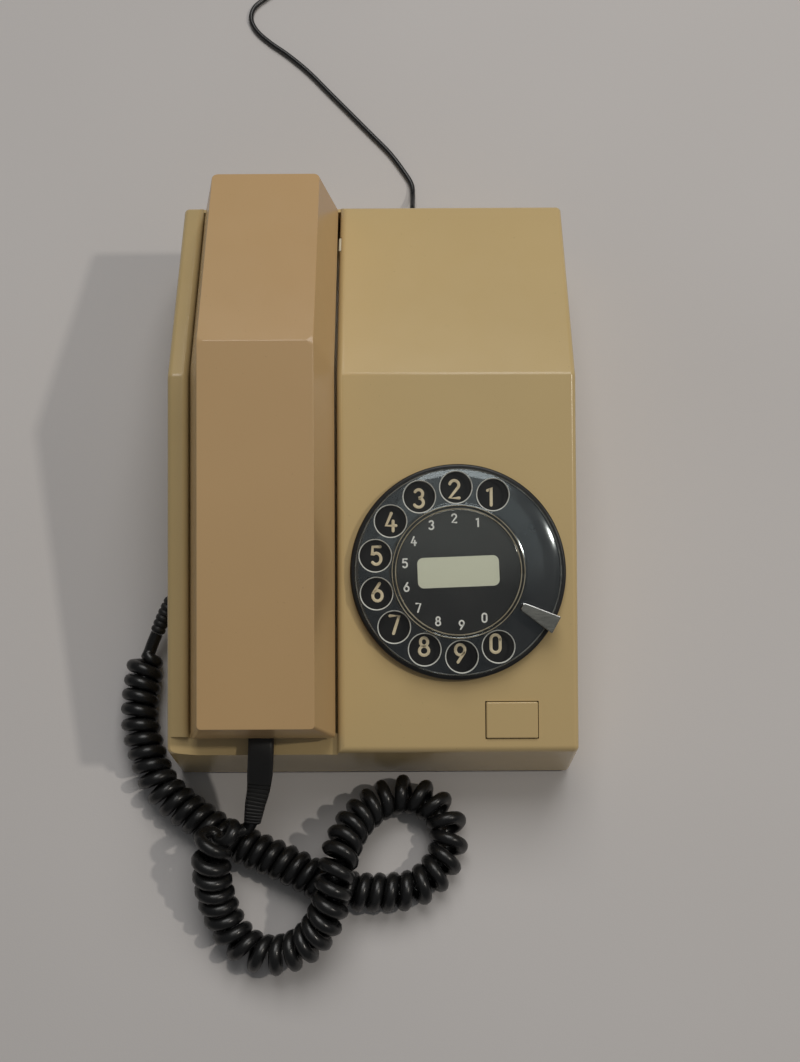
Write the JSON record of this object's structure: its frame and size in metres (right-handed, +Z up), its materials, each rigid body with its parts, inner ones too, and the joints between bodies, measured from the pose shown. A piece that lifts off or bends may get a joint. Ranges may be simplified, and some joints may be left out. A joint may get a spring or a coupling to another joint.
{
  "type": "rotary dial telephone",
  "caption": "Wedge-shaped rotary dial telephone: handset lying in a channel beside a clear finger wheel, with a recall button, a curly handset cord and a line cord.",
  "frame": {"origin": "middle of the footprint, on the surface that the feet stand on", "axes": "+X to the user's right, +Y from the front edge to the rear edge, +Z up from the surface"},
  "size_m": [0.178, 0.4787, 0.1015],
  "materials": {
    "case_plastic": "semi-gloss aged ABS, olive tan",
    "handset_plastic": "semi-gloss aged ABS, warm tan",
    "base_plastic": "satin",
    "black_plastic": "satin gloss",
    "clear_plastic": "clear polished acrylic",
    "ivory_plastic": "satin",
    "black_rubber": "matte",
    "steel": "brushed",
    "brass": "satin",
    "copper": "enamelled winding",
    "board": "phenolic paper board",
    "cord_pvc": "satin black PVC"
  },
  "bodies": {
    "root": {"case_shell": "case_plastic", "base_plate": "base_plastic", "foot_1": "black_rubber", "foot_2": "black_rubber", "foot_3": "black_rubber", "foot_4": "black_rubber", "case_screw_1": "steel", "case_screw_2": "steel", "case_screw_3": "steel", "case_screw_4": "steel", "handset_lug": "ivory_plastic", "number_plate": "black_plastic", "dial_frame": "base_plastic", "finger_stop": "steel", "pulse_contacts": "ivory_plastic", "mainspring": "steel", "recall_switch": "black_plastic", "hook_bracket": "steel", "hook_contacts": "ivory_plastic", "hook_spring": "steel", "circuit_board": "board", "induction_coil": "copper", "capacitor": "base_plastic", "terminal_block": "ivory_plastic", "ringer_frame": "steel", "ringer_coil": "copper", "gong_low": "brass", "gong_high": "brass", "line_gland": "black_rubber", "line_cord": "cord_pvc", "line_cord_coil": "cord_pvc", "line_cord_tail": "cord_pvc", "line_plug": "clear_plastic", "coil_tie": "ivory_plastic", "base_cord_relief": "black_rubber", "handset_cord_lead": "cord_pvc", "handset_cord": "cord_pvc"},
    "dial_wheel": {"finger_wheel": "clear_plastic", "number_card": "black_plastic", "card_cover": "clear_plastic", "dial_shaft": "steel", "drive_gear": "brass"},
    "pulse_wheel": {"pulse_pinion": "steel", "pulse_cam": "ivory_plastic"},
    "governor": {"governor_pinion": "steel", "governor_drum": "brass"},
    "recall": {"recall_button": "case_plastic", "recall_stem": "ivory_plastic"},
    "handset": {"handset_front_shell": "handset_plastic", "handset_rear_shell": "handset_plastic", "earpiece_cap": "handset_plastic", "mouthpiece_cap": "handset_plastic", "earpiece_capsule": "steel", "mouthpiece_capsule": "steel", "handset_screw_1": "steel", "handset_screw_2": "steel", "handset_boot": "black_rubber"},
    "plunger": {"hook_plunger": "ivory_plastic"},
    "lever": {"hook_lever": "steel"},
    "striker": {"clapper": "steel"}
  },
  "joints": [
    {"name": "dial_turn", "type": "hinge", "parent": "root", "child": "dial_wheel", "pos_m": [0.0318, -0.0447, 0.05559], "axis": [0, -0.23, 0.9732], "range_deg": [-314, 0], "stiffness_Nm_per_rad": 0.006},
    {"name": "pulse_turn", "type": "hinge", "parent": "root", "child": "pulse_wheel", "pos_m": [0.01065, -0.05179, 0.04466], "axis": [0, -0.23, 0.9732], "range_deg": [0, 943]},
    {"name": "governor_turn", "type": "hinge", "parent": "root", "child": "governor", "pos_m": [0.0519, -0.03392, 0.04889], "axis": [0, -0.23, 0.9732], "range_deg": [0, 1179]},
    {"name": "handset_lift", "type": "slide", "parent": "root", "child": "handset", "axis": [0, 0, 1], "range_m": [0, 0.09]},
    {"name": "hook_rise", "type": "slide", "parent": "root", "child": "plunger", "axis": [0, 0, 1], "range_m": [0, 0.0061], "deforming": ["hook_spring"]},
    {"name": "hook_lever_turn", "type": "hinge", "parent": "root", "child": "lever", "pos_m": [-0.0405, 0.0075, 0.03527], "axis": [1, 0, 0], "range_deg": [0, 9.4]},
    {"name": "recall_press", "type": "slide", "parent": "root", "child": "recall", "axis": [0, 0.23, -0.9732], "range_m": [0, 0.0025], "stiffness_N_per_m": 300},
    {"name": "clapper_swing", "type": "hinge", "parent": "root", "child": "striker", "pos_m": [0.034, 0.0695, 0.0295], "axis": [0, 0, 1], "range_deg": [-16, 16], "stiffness_Nm_per_rad": 0.002}
  ],
  "couplings": [
    {"joint": "pulse_turn", "follows": "dial_turn", "ratio": -3},
    {"joint": "governor_turn", "follows": "dial_turn", "ratio": -3.75},
    {"joint": "hook_rise", "follows": "handset_lift", "ratio": 0.0667},
    {"joint": "hook_lever_turn", "follows": "handset_lift", "rad_per_m": 1.8}
  ]
}
